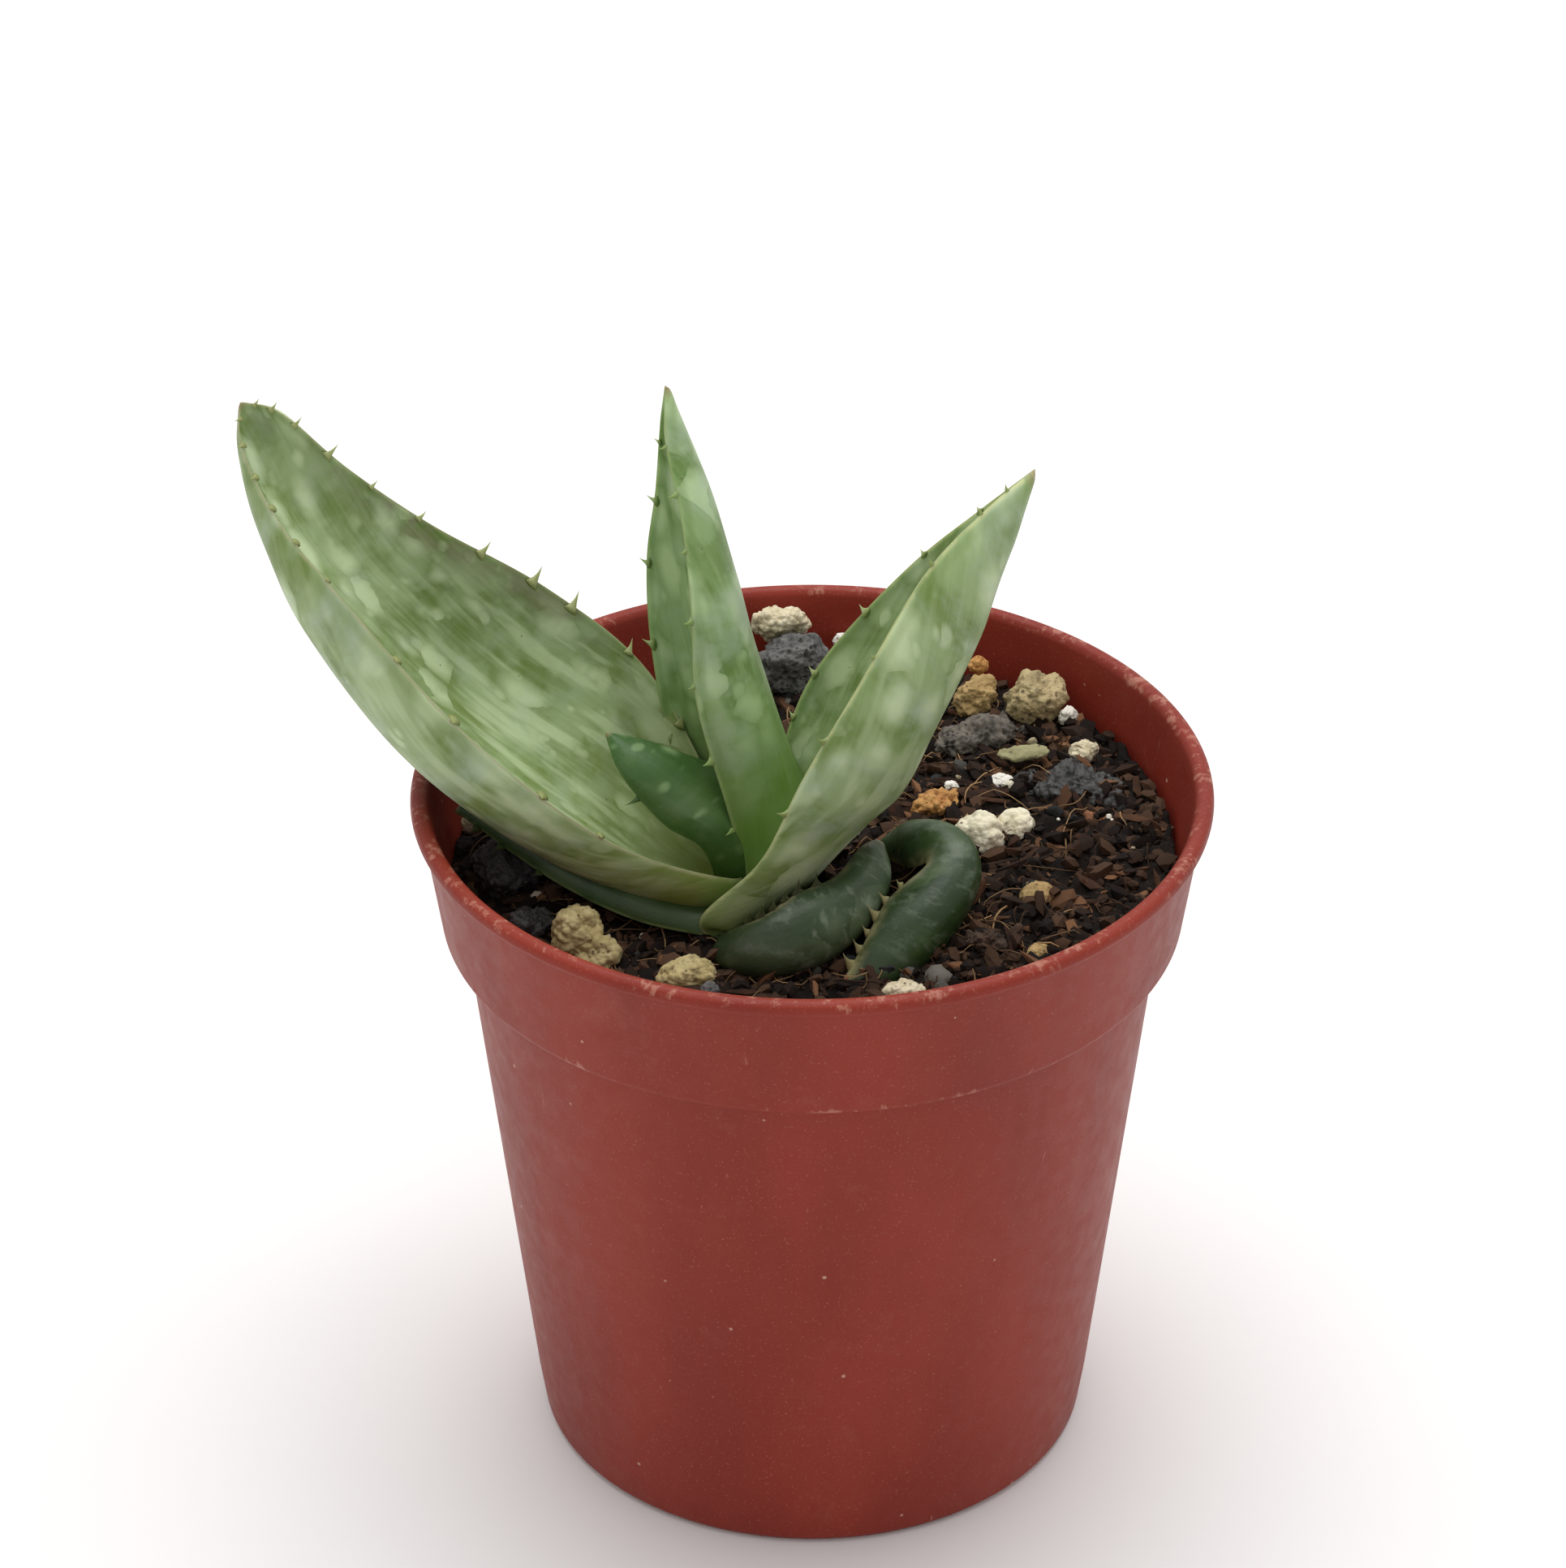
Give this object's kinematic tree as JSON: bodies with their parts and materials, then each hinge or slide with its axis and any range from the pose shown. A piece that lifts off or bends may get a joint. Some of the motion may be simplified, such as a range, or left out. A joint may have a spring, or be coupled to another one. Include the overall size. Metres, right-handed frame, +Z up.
{
  "type": "potted young aloe dhufarensis",
  "caption": "Young aloe with channelled, toothed leaves on a short rooted stem, in a round tapering nursery pot of stony soil.",
  "frame": {"origin": "centre of the pot's flat underside", "axes": "+X to the right and +Y away from the viewer of the picture, +Z up along the pot's axis"},
  "size_m": [0.0662, 0.055, 0.0798],
  "materials": {
    "leaf_left": "living succulent skin, waxy, dull sheen",
    "leaf_centre": "living succulent skin, waxy, dull sheen",
    "leaf_right": "living succulent skin, waxy, dull sheen",
    "leaf_heart": "living succulent skin, waxy, dull sheen",
    "leaf_low_left": "living succulent skin, waxy, dull sheen",
    "leaf_low_front": "living succulent skin, waxy, dull sheen",
    "leaf_low_right": "living succulent skin, waxy, dull sheen",
    "stem_and_roots": "fleshy, matte",
    "lava_back": "rough porous stone",
    "pumice_back": "rough porous stone",
    "pumice_by_wall": "rough porous stone",
    "speckled_stone": "rough porous stone",
    "tan_stone": "rough porous stone",
    "amber_stone": "rough porous stone",
    "long_rock": "rough porous stone",
    "white_grain_back": "rough porous stone",
    "olive_chip": "rough porous stone",
    "cream_stone": "rough porous stone",
    "black_rock": "rough porous stone",
    "white_stone": "rough porous stone",
    "white_grain_low": "rough porous stone",
    "orange_stone": "rough porous stone",
    "double_pumice": "rough porous stone",
    "wood_chip": "rough bark",
    "tan_pebble": "rough porous stone",
    "white_grain_right": "rough porous stone",
    "dark_clump": "rough porous stone",
    "rim_pebble": "rough porous stone",
    "front_pumice": "rough porous stone",
    "left_pumice": "rough porous stone",
    "yellow_pumice": "rough porous stone",
    "grey_rock_left": "rough porous stone",
    "grey_rock_low": "rough porous stone",
    "grey_pebble": "rough porous stone",
    "cream_grain_left": "rough porous stone",
    "soil": "dark crumbly peat and coir mix, matte",
    "pot": "moulded terracotta-coloured plastic, satin, dusty"
  },
  "bodies": {
    "root": {"leaf_left": "leaf_left", "leaf_centre": "leaf_centre", "leaf_right": "leaf_right", "leaf_heart": "leaf_heart", "leaf_low_left": "leaf_low_left", "leaf_low_front": "leaf_low_front", "leaf_low_right": "leaf_low_right", "stem_and_roots": "stem_and_roots", "lava_back": "lava_back", "pumice_back": "pumice_back", "pumice_by_wall": "pumice_by_wall", "speckled_stone": "speckled_stone", "tan_stone": "tan_stone", "amber_stone": "amber_stone", "long_rock": "long_rock", "white_grain_back": "white_grain_back", "olive_chip": "olive_chip", "cream_stone": "cream_stone", "black_rock": "black_rock", "white_stone": "white_stone", "white_grain_low": "white_grain_low", "orange_stone": "orange_stone", "double_pumice": "double_pumice", "wood_chip": "wood_chip", "tan_pebble": "tan_pebble", "white_grain_right": "white_grain_right", "dark_clump": "dark_clump", "rim_pebble": "rim_pebble", "front_pumice": "front_pumice", "left_pumice": "left_pumice", "yellow_pumice": "yellow_pumice", "grey_rock_left": "grey_rock_left", "grey_rock_low": "grey_rock_low", "grey_pebble": "grey_pebble", "cream_grain_left": "cream_grain_left", "soil": "soil", "pot": "pot"}
  },
  "joints": []
}
